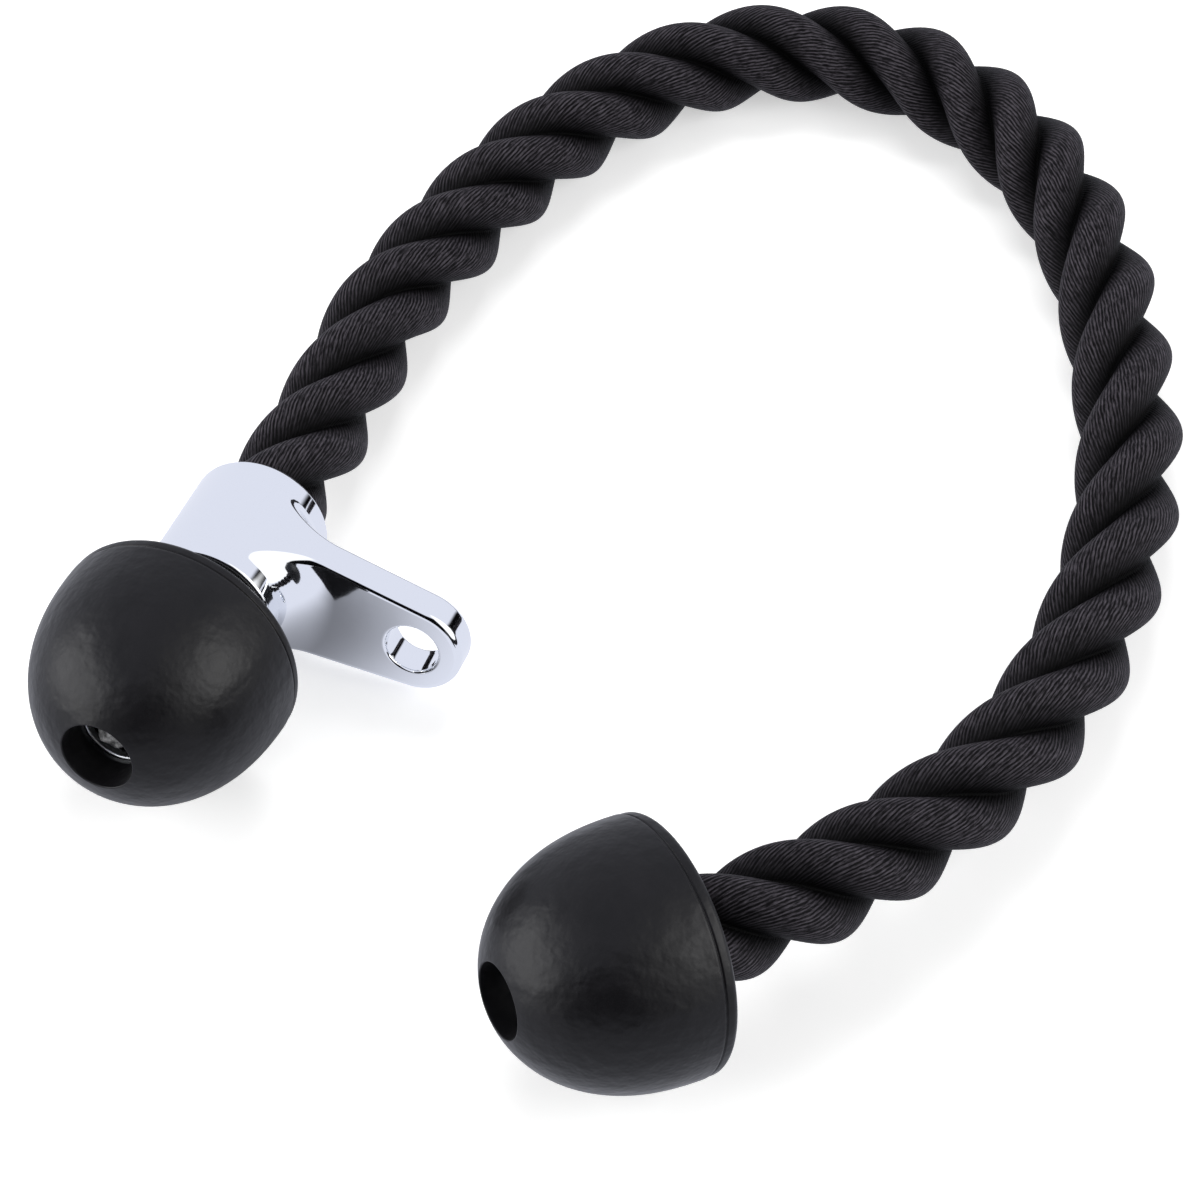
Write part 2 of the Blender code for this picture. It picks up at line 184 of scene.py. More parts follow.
# Light: the room's plain light, the floor's own glow, and the lamps, each with its direction,
# distance, width and height, power, and whether mirrors see it.
ROOM_LIGHT = 0.24
FLOOR_GLOW = 0.50
FLOOR_HALF = 4.0
FLOOR_FADE = (0.45, 0.9)   # distances over which the floor turns plain white to the camera
LAMP_AIM = (0.0, 0.1, 0.0)
LAMPS = (
    ("left_box", (-0.86, -0.56, 0.36), 1.0, (1.1, 0.75), 9.5, True),
    ("right_box", (0.84, 0.00, 0.50), 1.1, (0.75, 0.7), 6.0, True),
    ("top_box", (-0.20, 0.62, 0.95), 1.2, (0.8, 0.6), 6.5, False),
)


# Numbers and meshes.

def unit(vectors):
    """Each vector divided by its own length."""
    return vectors / np.linalg.norm(vectors, axis=-1, keepdims=True)


def colour(code):
    """The linear colour of an sRGB hex code."""
    parts = np.array([int(code[i:i + 2], 16) for i in (1, 3, 5)]) / 255
    linear = np.where(parts <= 0.04045, parts / 12.92, ((parts + 0.055) / 1.055) ** 2.4)
    return (*linear, 1.0)


def frame_on(point, axis, across):
    """A 3 by 4 frame: columns across, upright, axis and the point, from a plan place."""
    z = unit(np.array(axis, float))
    x = unit(np.array(across, float) - z * np.dot(across, z))
    return np.column_stack((x, np.cross(z, x), z, np.array(point) - ORIGIN))


def place(points, at):
    """Local points moved into the part's frame: the frame's axes times the point, plus its place."""
    return points @ at[:, :3].T + at[:, 3]


def ball_frame(back, heading, tilt):
    """A ball's frame: its axis runs from back to nose, along the heading and up by the tilt."""
    heading, tilt = math.radians(heading), math.radians(tilt)
    flat = math.cos(tilt)
    axis = (flat * math.cos(heading), flat * math.sin(heading), math.sin(tilt))
    return frame_on(back, axis, (-math.sin(heading), math.cos(heading), 0.0))


def bracket_frame():
    """The bracket's frame: its axis runs away from ball 1 and falls with the rope, and its first
    column points to the eye, turned down from level by the droop."""
    axis = unit(np.array((0.0, 1.0, -FALL_PER_RUN)))
    level = np.array((1.0, 0.0, 0.0))
    across = level * math.cos(EYE_DROOP) + np.cross(axis, level) * math.sin(EYE_DROOP)
    return frame_on(BRACKET_PLACE, axis, across)


def piece_of(name, points, faces, look):
    """A smooth object at the origin from points (n, 3) and sets of faces, (m, 4) or (m, 3) each."""
    mesh = bpy.data.meshes.new(name)
    mesh.from_pydata(points.tolist(), [], sum((part.tolist() for part in faces), []))
    mesh.polygons.foreach_set("use_smooth", np.ones(len(mesh.polygons), bool))
    mesh.materials.append(look)
    mesh.update()
    made = bpy.data.objects.new(name, mesh)
    bpy.context.scene.collection.objects.link(made)
    return made


def quads(rows, columns, wrap_rows, wrap_columns):
    """Faces of a grid numbered row by row, joined round at the ends that wrap."""
    i, j = np.meshgrid(
        np.arange(rows if wrap_rows else rows - 1),
        np.arange(columns if wrap_columns else columns - 1), indexing="ij")
    k, m = (i + 1) % rows, (j + 1) % columns
    corners = (i * columns + j, i * columns + m, k * columns + m, k * columns + j)
    return np.stack(corners, -1).reshape(-1, 4)


def fan(middle, ring):
    """Triangles from a middle point to each side of a closed ring, in the ring's order."""
    return np.stack((np.full(len(ring), middle), ring, np.roll(ring, -1)), -1)


def flipped(triangles):
    """The same triangles facing the other way."""
    return triangles[:, [0, 2, 1]]


def arc(middle, radius, first, last, steps):
    """Points on a circle: the middle plus the radius times cosine and sine, degrees first to last."""
    turn = np.radians(np.linspace(first, last, steps))
    return np.column_stack((middle[0] + radius * np.cos(turn), middle[1] + radius * np.sin(turn)))


def turned(name, profile, at, look, sides):
    """A closed ring: each (along, out) point of the profile carried round the frame's own axis."""
    angle = np.linspace(0, 2 * math.pi, sides, endpoint=False)
    along, out = profile[:, 0][:, None], profile[:, 1][:, None]
    local = np.stack((out * np.cos(angle), out * np.sin(angle), along + 0 * angle), -1)
    faces = quads(len(profile), sides, True, True)
    return piece_of(name, place(local.reshape(-1, 3), at), (faces,), look)


def dense(profile, step):
    """The same closed outline with points added, so that no side is longer than the step."""
    closed = np.vstack((profile, profile[:1]))
    lengths = np.linalg.norm(np.diff(closed, axis=0), axis=1)
    counts = np.maximum(np.ceil(lengths / step).astype(int), 1)
    side = np.repeat(np.arange(len(counts)), counts)
    share = (np.arange(len(side)) - np.repeat(np.cumsum(counts) - counts, counts)) / counts[side]
    return closed[side] + (closed[side + 1] - closed[side]) * share[:, None]


# Materials.

def put(tree, kind, inputs=None, **settings):
    """Adds one node with its own settings; inputs are values, or the outputs that feed them."""
    made = tree.nodes.new("ShaderNode" + kind)
    for name, value in settings.items():
        setattr(made, name, value)
    for name, value in (inputs or {}).items():
        if isinstance(value, bpy.types.NodeSocket):
            tree.links.new(value, made.inputs[name])
        else:
            made.inputs[name].default_value = value
    return made


def surface(name, **constants):
    """A new material: its node tree and its Principled shader with the constant inputs set."""
    made = bpy.data.materials.new(name)
    made.use_nodes = True
    shader = made.node_tree.nodes["Principled BSDF"]
    for key, value in constants.items():
        shader.inputs[key.replace("_", " ")].default_value = value
    return made, made.node_tree, shader


def laid_polypropylene():
    """Laid polypropylene rope: near-black spun fibre whose yarns run almost along the rope. Painted
    highlights on their crowns, broken light streaks about a millimetre apart, stand for the fibre's
    glints, and painted shade keeps the grooves black."""
    made, tree, shader = surface("laid_polypropylene", Specular_IOR_Level=0.05)
    # Single fibres are too fine to show in the picture, so the streaks of painted highlight that
    # stand for their
    #     glints are drawn coarser, a third of a millimetre wide.
    yarn, wander, run, streak = 0.95 * MM, 4 * MM, 6 * MM, 0.32 * MM
    dash_width, dash_length = 0.4 * MM, 2.0 * MM
    uv = put(tree, "UVMap", uv_map="surface").outputs["UV"]
    drawn = []
    for wide, long, detail in (
            (wander, run, 1.0), (streak, run, 3.0), (dash_width, dash_length, 2.0)):
        stretched = put(tree, "Mapping", {"Vector": uv, "Scale": (1 / wide, 1 / long, 1)})
        drawn.append(put(tree, "TexNoise", {
            "Vector": stretched.outputs[0], "Scale": 1.0, "Detail": detail, "Roughness": 0.6,
        }).outputs[0])
    sway, fibre, dashes = drawn
    across = put(tree, "SeparateXYZ", {0: uv}).outputs["X"]
    turns = put(tree, "Math", {0: across, 1: 2 * math.pi / yarn}, operation="MULTIPLY")
    bent = put(tree, "Math", {0: sway, 1: 7.0, 2: turns.outputs[0]}, operation="MULTIPLY_ADD")
    ridge = put(tree, "Math", {0: bent.outputs[0]}, operation="SINE")
    relief = put(tree, "Math", {0: ridge.outputs[0], 1: 0.17, 2: fibre}, operation="MULTIPLY_ADD")
    broken = put(tree, "Math", {0: dashes, 1: 0.85, 2: relief.outputs[0]}, operation="MULTIPLY_ADD")
    # Painted highlights: where the yarn pattern runs high, light streaks are painted into the base
    # colour for the glints on the fibres' crowns.
    painted_glints = put(tree, "MapRange", {
        "Value": broken.outputs[0], "From Min": 0.74, "From Max": 1.33,
    }, interpolation_type="SMOOTHSTEP")
    # Painted shade: from crown to groove the base colour darkens to near black and the painted
    # highlights fade, for the shade between the strands.
    depth = put(tree, "Attribute", attribute_name="groove").outputs["Fac"]
    crown = put(tree, "MapRange", {
        "Value": depth, "From Min": 1.0, "From Max": 0.22}, interpolation_type="SMOOTHSTEP")
    painted_glints_on_crowns = put(tree, "Math", {0: painted_glints.outputs[0], 1: crown.outputs[0]}, operation="MULTIPLY")
    ground_with_painted_shade = put(tree, "Mix", {
        "Factor": crown.outputs[0], "A": colour("#010101"), "B": colour("#0b0a0c"),
    }, data_type="RGBA")
    tint = put(tree, "Mix", {
        "Factor": painted_glints_on_crowns.outputs[0], "A": ground_with_painted_shade.outputs["Result"], "B": colour("#57535a"),
    }, data_type="RGBA")
    tree.links.new(tint.outputs["Result"], shader.inputs["Base Color"])
    rough = put(tree, "MapRange", {"Value": fibre, "To Min": 0.40, "To Max": 0.70})
    tree.links.new(rough.outputs[0], shader.inputs["Roughness"])
    bump = put(tree, "Bump", {"Height": broken.outputs[0], "Strength": 0.8, "Distance": 0.40 * MM})
    tree.links.new(bump.outputs[0], shader.inputs["Normal"])
    return made


def moulded_rubber():
    """Black moulded rubber: a dull skin with a soft bloom, greyer and rougher patches beside darker
    and glossier ones, over shallow dents and a fine grain."""
    made, tree, shader = surface(
        "moulded_rubber", IOR=1.52, Specular_IOR_Level=0.20, Sheen_Weight=0.04, Sheen_Roughness=0.35)
    # The real grain is too fine to show in the picture, so it is drawn coarser, 0.9 mm wide.
    patch, dent, speck = 9 * MM, 4 * MM, 0.9 * MM
    where = put(tree, "TexCoord").outputs["Object"]
    bloom = put(tree, "TexNoise", {
        "Vector": where, "Scale": 1 / patch, "Detail": 5.0, "Roughness": 0.6})
    tint = put(tree, "Mix", {
        "Factor": bloom.outputs[0], "A": colour("#0a0a0c"), "B": colour("#18171a"),
    }, data_type="RGBA")
    tree.links.new(tint.outputs["Result"], shader.inputs["Base Color"])
    rough = put(tree, "MapRange", {
        "Value": bloom.outputs[0], "From Min": 0.3, "From Max": 0.7, "To Min": 0.33, "To Max": 0.43})
    tree.links.new(rough.outputs[0], shader.inputs["Roughness"])
    grain = put(tree, "TexNoise", {"Vector": where, "Scale": 1 / speck, "Detail": 2.0})
    dents = put(tree, "TexNoise", {"Vector": where, "Scale": 1 / dent, "Detail": 2.0})
    height = put(tree, "Math", {
        0: grain.outputs[0], 1: 0.05, 2: dents.outputs[0]}, operation="MULTIPLY_ADD")
    bump = put(tree, "Bump", {"Height": height.outputs[0], "Strength": 0.6, "Distance": 0.5 * MM})
    tree.links.new(bump.outputs[0], shader.inputs["Normal"])
    return made


def chrome_plate():
    """Chrome plate over a polished casting: a clear mirror with a slow ripple left by the buff."""
    made, tree, shader = surface(
        "chrome_plate", Metallic=1.0, Roughness=0.06, Base_Color=colour("#eceef2"))
    wave = 7 * MM
    where = put(tree, "TexCoord").outputs["Object"]
    ripple = put(tree, "TexNoise", {"Vector": where, "Scale": 1 / wave, "Detail": 1.0})
    bump = put(tree, "Bump", {"Height": ripple.outputs[0], "Strength": 0.3, "Distance": 0.15 * MM})
    tree.links.new(bump.outputs[0], shader.inputs["Normal"])
    return made


def zinc_plate():
    """Bright zinc on a pressed steel washer: a pale metal with a fine uneven sheen."""
    made, tree, shader = surface("zinc_plate", Metallic=1.0, Base_Color=colour("#c3c5c8"))
    grain = 1.2 * MM
    where = put(tree, "TexCoord").outputs["Object"]
    mottle = put(tree, "TexNoise", {"Vector": where, "Scale": 1 / grain, "Detail": 3.0})
    rough = put(tree, "MapRange", {"Value": mottle.outputs[0], "To Min": 0.22, "To Max": 0.45})
    tree.links.new(rough.outputs[0], shader.inputs["Roughness"])
    return made


def crimped_steel():
    """Plain drawn steel, pressed on to the rope: grey, with drawing lines ten times as long as
    they are wide. They follow the Y axis, nearly along ferrule 1, and no view shows either one."""
    made, tree, shader = surface("crimped_steel", Metallic=1.0, Base_Color=colour("#9a9b9e"))
    line, stretch = 0.8 * MM, 0.1
    where = put(tree, "TexCoord").outputs["Object"]
    along = put(tree, "Mapping", {"Vector": where, "Scale": (1, stretch, 1)})
    lines = put(tree, "TexNoise", {
        "Vector": along.outputs[0], "Scale": 1 / line, "Detail": 3.0})
    rough = put(tree, "MapRange", {"Value": lines.outputs[0], "To Min": 0.30, "To Max": 0.55})
    tree.links.new(rough.outputs[0], shader.inputs["Roughness"])
    return made


def melted_fibre():
    """Rope fibre melted by a hot knife: lumps with a wet-looking skin that set uneven, painted grey
    to near white, far lighter than the black fibre itself, as painted highlights for the glints on
    them in the dim hole.
    """
    made, tree, shader = surface("melted_fibre", IOR=1.49, Roughness=0.32)
    lump = 2.2 * MM
    where = put(tree, "TexCoord").outputs["Object"]
    lumps = put(tree, "TexNoise", {"Vector": where, "Scale": 1 / lump, "Detail": 4.0})
    # Painted light: the higher a lump, the nearer to white it is painted, for the glints on the
    # melted end inside the hole.
    painted_light_share = put(tree, "MapRange", {"Value": lumps.outputs[0], "From Min": 0.38, "From Max": 0.66})
    tint = put(tree, "Mix", {
        "Factor": painted_light_share.outputs[0], "A": colour("#5c5c5e"), "B": colour("#f4f4f6"),
    }, data_type="RGBA")
    tree.links.new(tint.outputs["Result"], shader.inputs["Base Color"])
    bump = put(tree, "Bump", {"Height": lumps.outputs[0], "Strength": 0.9, "Distance": 0.6 * MM})
    tree.links.new(bump.outputs[0], shader.inputs["Normal"])
    return made


def black_nylon():
    """Turned black nylon, as a bush: matte, with the slight unevenness that the tool leaves."""
    made, tree, shader = surface(
        "black_nylon", IOR=1.53, Roughness=0.5, Base_Color=colour("#0d0d0e"))
    mark = 0.5 * MM
    where = put(tree, "TexCoord").outputs["Object"]
    marks = put(tree, "TexNoise", {"Vector": where, "Scale": 1 / mark, "Detail": 1.0})
    bump = put(tree, "Bump", {"Height": marks.outputs[0], "Strength": 0.2, "Distance": 0.1 * MM})
    tree.links.new(bump.outputs[0], shader.inputs["Normal"])
    return made


# Pieces.

def rope_route(frames, steps):
    """A chord-length curve through the route's points: on each stretch, the two ends and their
    tangents blended by the cubic Hermite shares."""
    depths = (ROPE_END_DEPTH * IN_BALL_SHARES)[:, None] * np.array((0.0, 0.0, 1.0))
    inner = {name: place(depths, at) for name, at in frames.items()}
    points = np.vstack((inner["1"], np.array(ROUTE) - ORIGIN, inner["2"][::-1]))
    points = np.vstack((2 * points[0] - points[1], points, 2 * points[-1] - points[-2]))
    p0, p1, p2, p3 = (points[i:len(points) - 3 + i] for i in range(4))
    d0, d1, d2 = (
        np.linalg.norm(b - a, axis=1, keepdims=True) for a, b in ((p0, p1), (p1, p2), (p2, p3)))
    m1 = ((p1 - p0) / d0 - (p2 - p0) / (d0 + d1) + (p2 - p1) / d1) * d1
    m2 = ((p2 - p1) / d1 - (p3 - p1) / (d1 + d2) + (p3 - p2) / d2) * d1
    t = (np.arange(steps) / steps)[None, :, None]
    p1, p2, m1, m2 = (a[:, None, :] for a in (p1, p2, m1, m2))
    curve = (
        p1 * (2 * t**3 - 3 * t**2 + 1) + m1 * (t**3 - 2 * t**2 + t)
        + p2 * (3 * t**2 - 2 * t**3) + m2 * (t**3 - t**2))
    return np.vstack((curve.reshape(-1, 3), points[-2:-1]))


def make_rope(path, look):
    """Three round strands laid right-handed: each is an arc of its own circle, carried along the
    path while the three turn together, once for every lay length. U runs across a strand's yarns
    and V along them; the yarns turn back against the lay, so they lie nearly along the rope. The
    groove attribute runs from 0 on a strand's crown to 1 where two strands meet."""
    run = np.concatenate(([0.0], np.cumsum(np.linalg.norm(np.diff(path, axis=0), axis=1))))
    tangent = unit(np.gradient(path, run, axis=0))
    side = unit(np.cross((0.0, 0.0, 1.0), tangent))
    rise = np.cross(tangent, side)
    laid = run - LAY_ZERO
    rate = 2 * math.pi / np.interp(laid, LAYS[:, 0], LAYS[:, 1])
    turn = np.concatenate(([0.0], np.cumsum((rate[1:] + rate[:-1]) / 2 * np.diff(run))))
    turn = turn - np.interp(0.0, laid, turn) + LAY_START
    half = math.pi / STRANDS
    meet = STRAND_CENTRE * math.cos(half) + math.sqrt(
        STRAND_RADIUS**2 - (STRAND_CENTRE * math.sin(half)) ** 2)
    groove = math.atan2(meet * math.sin(half), meet * math.cos(half) - STRAND_CENTRE)
    swing = np.linspace(-groove, groove, STRAND_STEPS + 1)
    strand = STRAND_CENTRE + STRAND_RADIUS * np.exp(1j * swing[:-1])
    whole = np.concatenate([strand * np.exp(2j * math.pi * k / STRANDS) for k in range(STRANDS)])
    section = whole[None, :] * np.exp(1j * turn)[:, None]
    points = (
        path[:, None, :] + section.real[..., None] * side[:, None, :]
        + section.imag[..., None] * rise[:, None, :])
    rows, columns = section.shape
    ring = np.arange(columns)
    first_end, last_end = rows * columns, rows * columns + 1
    made = piece_of(
        "laid_rope", np.vstack((points.reshape(-1, 3), path[:1], path[-1:])),
        (quads(rows, columns, False, True), flipped(fan(first_end, ring)),
         fan(last_end, (rows - 1) * columns + ring)), look)
    number, step = ring // STRAND_STEPS, ring % STRAND_STEPS
    spin = turn * ROPE_RADIUS / STRAND_RADIUS
    edges = np.stack((swing[step], swing[step + 1]), -1)[None]
    across = STRAND_RADIUS * (edges + spin[:, None, None]) + (number * YARN_SHIFT)[None, :, None]
    low, high = across[:-1], across[1:]
    u = np.stack((low[..., 0], low[..., 1], high[..., 1], high[..., 0]), -1)
    ends = np.stack((run[:-1], run[:-1], run[1:], run[1:]), -1)
    v = np.broadcast_to(ends[:, None, :], u.shape)
    uv = np.zeros((len(made.data.loops), 2), np.float32)
    uv[:u.size] = np.stack((u, v), -1).reshape(-1, 2)
    made.data.uv_layers.new(name="surface").data.foreach_set("uv", uv.ravel())
    depth = np.ones(len(made.data.vertices), np.float32)
    depth[:rows * columns] = np.tile(np.abs(swing[:-1]) / groove, STRANDS * rows)
    made.data.attributes.new("groove", "FLOAT", "POINT").data.foreach_set("value", depth)
    return made


def ball_profile():
    """Ball outline as (along, out): a rounded lip with its parting groove, then the dome, whose
    radius is the ball's times the square root of one minus a power of the share of the way to a
    tip beyond the nose, then the rounded hole, the chamber and the rope's bore."""
    edge = BALL_RADIUS - LIP_STEP
    lip = arc((LIP_ROUND, edge - LIP_ROUND), LIP_ROUND, 180, 90, LIP_POINTS)
    dip = np.linspace(-1, 1, DIP_POINTS)
    line = np.column_stack((
        LIP_WIDTH + LIP_GROOVE * (1 + dip),
        edge + LIP_STEP * (dip + 1) / 2 - LIP_GROOVE_DEPTH * np.cos(dip * math.pi / 2) ** 2))
    last = (1 - ((HOLE_RADIUS + HOLE_RIM) / BALL_RADIUS) ** 2) ** (1 / DOME_POWER)
    way = last * np.sin(np.linspace(0, 1, DOME_STEPS) * math.pi / 2)
    dome = np.column_stack((
        DOME_START + (DOME_TIP - DOME_START) * way, BALL_RADIUS * np.sqrt(1 - way**DOME_POWER)))
    slope = unit(dome[-1] - dome[-2])
    lean = math.degrees(math.atan2(slope[0], -slope[1]))
    centre = dome[-1] - HOLE_ROUND * np.array((-slope[1], slope[0]))
    mouth = arc(centre, HOLE_ROUND, lean, -90, MOUTH_POINTS)
    front = BALL_LENGTH - FRONT_WALL
    inside = np.array((
        (front, mouth[-1, 1]), (front, CHAMBER_RADIUS), (BACK_WALL, CHAMBER_RADIUS),
        (BACK_WALL, BORE_RADIUS), (BORE_BREAK, BORE_RADIUS), (0.0, BORE_RADIUS + BORE_BREAK)))
    return np.vstack((lip, line, dome, mouth[1:], inside))


def make_washer(name, at, look):
    """A pressed washer: a flat ring turned about the ball's axis, with both front edges rounded by
    quarter circles."""
    low, high = WASHER_BACK, WASHER_BACK + WASHER_THICKNESS
    edge = WASHER_THICKNESS / 4
    profile = np.vstack((
        ((low, WASHER_HOLE), (low, WASHER_RIM)),
        arc((high - edge, WASHER_RIM - edge), edge, 90, 0, SOFT_POINTS),
        arc((high - edge, WASHER_HOLE + edge), edge, 0, -90, SOFT_POINTS)))
    return turned(name, profile, at, look, WASHER_SIDES)


def make_fused_end(name, at, look, seed):
    """The melted rope end: a disc whose outline is three lobes, R = 2 r cos of the angle from the
    lobe's middle, domed over each lobe, sunk where they meet, and uneven by a product of two sines.
    Within the washer's hole the domes swell forward, by the swell times their own height."""
    flat, domed, least, past, uneven = 0.25, 0.63, 0.12, 1.04, 0.12   # shares of height and lobe
    first, wide, high = 0.02, 0.9 * MM, 1.1 * MM   # inmost ring's share, and the sines' sizes
    angle = np.linspace(0, 2 * math.pi, FUSED_SIDES, endpoint=False)
    lobe = (angle + math.pi / 3) % (2 * math.pi / 3) - math.pi / 3
    reach = 2 * FUSED_LOBE * np.cos(lobe)
    share = np.sin(np.linspace(first, 1, FUSED_RINGS) * math.pi / 2)[:, None]
    x, y = share * reach * np.cos(angle), share * reach * np.sin(angle)
    turns = 2 * math.pi / 3 * np.arange(3)
    gap = np.min([
        np.hypot(x - FUSED_LOBE * math.cos(t), y - FUSED_LOBE * math.sin(t)) for t in turns], 0)
    dome = np.sqrt(np.clip(1 - (gap / (past * FUSED_LOBE)) ** 2, 0, 1))
    lumps = uneven * np.sin(x / wide + seed) * np.cos(y / high - seed)
    inside = np.clip((WASHER_HOLE - np.hypot(x, y)) / FUSED_SLOPE, 0, 1)
    height = FUSED_LENGTH + FUSED_SWELL * inside * dome
    top = FUSED_BACK + height * np.clip(flat + domed * dome + lumps * dome, least, 1.0)
    back = np.full_like(top[-1:], FUSED_BACK)
    grid = np.vstack((np.stack((x, y, top), -1), np.stack((x[-1:], y[-1:], back), -1)))
    rows, ring = len(grid), np.arange(FUSED_SIDES)
    front, rear = rows * FUSED_SIDES, rows * FUSED_SIDES + 1
    local = np.vstack((grid.reshape(-1, 3), ((0, 0, top[0].mean()), (0, 0, FUSED_BACK))))
    sides = quads(rows, FUSED_SIDES, False, True)[:, ::-1]
    caps = fan(front, ring), flipped(fan(rear, (rows - 1) * FUSED_SIDES + ring))
    return piece_of(name, place(local, at), (sides, *caps), look)


def make_liner(at, look):
    """A thin bush: half a profile and its mirror image, turned about the sleeve's axis, with a small
    flange outside each mouth of the sleeve."""
    inner = SLEEVE_HALF_LENGTH + STOP_GAP
    outer = inner + LINER_FLANGE
    soft = LINER_FLANGE / 3
    half = np.vstack((
        ((inner, LINER_OUTSIDE), (inner, LINER_FLANGE_RADIUS)),
        arc((outer - soft, LINER_FLANGE_RADIUS - soft), soft, 90, 0, SOFT_POINTS),
        ((outer, LINER_BORE + soft), (outer - soft, LINER_BORE))))
    other = half[::-1] * (-1, 1)
    return turned("nylon_liner", np.vstack((other, half)), at, look, LINER_SIDES)


def make_sleeve(at, look):
    """The bracket's sleeve: a bored tube turned about its axis, whose rims are rounded outside by
    quarter circles and bevelled inside."""
    half, edge = SLEEVE_HALF_LENGTH, SLEEVE_ROUND
    bevel = edge / 2
    right = np.vstack((
        arc((half - edge, SLEEVE_RADIUS - edge), edge, 90, 0, EDGE_POINTS),
        ((half, SLEEVE_BORE + bevel), (half - bevel, SLEEVE_BORE))))
    left = right[::-1] * (-1, 1)
    return turned("chrome_sleeve", np.vstack((left, right)), at, look, SLEEVE_SIDES)


def half_thickness(x, y):
    """Half the lug's thickness: flat past the root, and a quarter circle up to the sleeve, a quarter
    of a millimetre below its skin, so that the two surfaces cross on a clean line."""
    into = np.clip(SLEEVE_RADIUS - ROOT_SINK + ROOT_FILLET - np.hypot(x, y), 0, ROOT_FILLET)
    return LUG_HALF + ROOT_FILLET - np.sqrt(ROOT_FILLET**2 - into**2)


def lug_outline():
    """The lug's outline, from the tip round the head, along the belt, which is the straight line
    that touches both head and sleeve, and back through the sleeve's wall by a chord and a bow
    round its axis. With it, for each point, come the share of the edge's rounding and the cosine
    between the ray from the eye and the outline's normal. Both change smoothly over the chord."""
    lean = math.acos((SLEEVE_RADIUS - HEAD_RADIUS) / EYE_REACH)
    normal = np.array((math.cos(lean), math.sin(lean)))
    along = np.array((-normal[1], normal[0]))
    eye = np.array((EYE_REACH, 0.0))
    head = arc(eye, HEAD_RADIUS, 0, math.degrees(lean), HEAD_STEPS)[:-1]
    meets = eye + HEAD_RADIUS * normal
    leaves = (SLEEVE_RADIUS - BELT_SINK) * normal + BELT_PAST * along
    way = np.sin(np.linspace(0, 1, BELT_STEPS) * math.pi / 2)[:, None]
    belt = meets + (leaves - meets) * way
    bow = arc((0.0, 0.0), LUG_END, ROOT_TURN, 0, BOW_STEPS)
    share = np.linspace(0, 1, CHORD_STEPS)[1:-1]
    chord = leaves + (bow[0] - leaves) * share[:, None]
    outline = np.vstack((head, belt, chord, bow))
    fade = share**2 * (3 - 2 * share)
    facing = unit(belt - eye) @ normal
    slant = np.concatenate((
        np.ones(len(head)), facing, facing[-1] + (1 - facing[-1]) * fade, np.ones(len(bow))))
    rim = np.concatenate((
        np.ones(len(head) + len(belt)), 1 - (1 - ROOT_RIM) * fade, np.full(len(bow), ROOT_RIM)))
    other = slice(-2, 0, -1)
    return (
        np.vstack((outline, outline[other] * (1, -1))),
        np.concatenate((rim, rim[other])), np.concatenate((slant, slant[other])))


def make_lug(at, look):
    """The lug and its eye: rays run from the eye's rim out to the outline. Along each ray the
    surface goes up the eye's wall, over the face, round the edge by a quarter circle, down the
    wall, and back the same way below. Points on a ray lie at even lengths of its surface line."""
    outline, rim, slant = lug_outline()
    eye = np.array((EYE_REACH, 0.0))
    ray, reach = unit(outline - eye), np.linalg.norm(outline - eye, axis=1)
    rays = len(ray)
    bend = np.radians(np.linspace(90, 0, EDGE_POINTS))
    edge = (LUG_ROUND * rim)[:, None]
    inset = edge * (1 - np.cos(bend)) / slant[:, None]
    start = EYE_RADIUS + EYE_CHAMFER
    even = start + (reach - inset[:, 0] - start)[:, None] * np.linspace(0, 1, FACE_SAMPLES)
    spots = eye + ray[:, None, :] * even[..., None]
    rise = half_thickness(spots[..., 0], spots[..., 1])
    length = np.cumsum(np.hypot(np.diff(even, axis=1), np.diff(rise, axis=1)), axis=1)
    length = np.hstack((np.zeros((rays, 1)), length / length[:, -1:]))
    number = 2.0 * np.arange(rays)[:, None]   # keeps the rays apart in one interpolation
    wanted = number + np.linspace(0, 1, FACE_STEPS)
    face = np.interp(wanted.ravel(), (number + length).ravel(), even.ravel()).reshape(wanted.shape)
    radii = np.hstack((face[:, :-1], reach[:, None] - inset))
    drop = np.hstack((np.zeros((rays, FACE_STEPS - 1)), edge * (1 - np.sin(bend))))
    spots = eye + ray[:, None, :] * radii[..., None]
    top = np.dstack((spots, half_thickness(spots[..., 0], spots[..., 1]) - drop))
    lip = arc((start, LUG_HALF - EYE_CHAMFER), EYE_CHAMFER, 180, 90, EYE_POINTS)[:-1]
    mouth = np.dstack((
        eye + ray[:, None, :] * lip[None, :, :1],
        np.broadcast_to(lip[None, :, 1], (rays, len(lip)))))
    level = np.linspace(1, -1, WALL_POINTS)[1:-1]
    depth = np.linspace(-1, 1, BORE_POINTS)[1:-1]
    wall = np.dstack((
        np.broadcast_to(top[:, -1:, :2], (rays, len(level), 2)), top[:, -1:, 2] * level))
    bore = np.dstack((
        np.broadcast_to(mouth[:, :1, :2], (rays, len(depth), 2)),
        np.broadcast_to(lip[0, 1] * depth, (rays, len(depth)))))
    below = np.array((1, 1, -1))
    loop = np.hstack((mouth, top, wall, top[:, ::-1] * below, mouth[:, ::-1] * below, bore))
    faces = quads(*loop.shape[:2], True, True)
    return piece_of("chrome_lug", place(loop.reshape(-1, 3), at), (faces,), look)


# Studio.

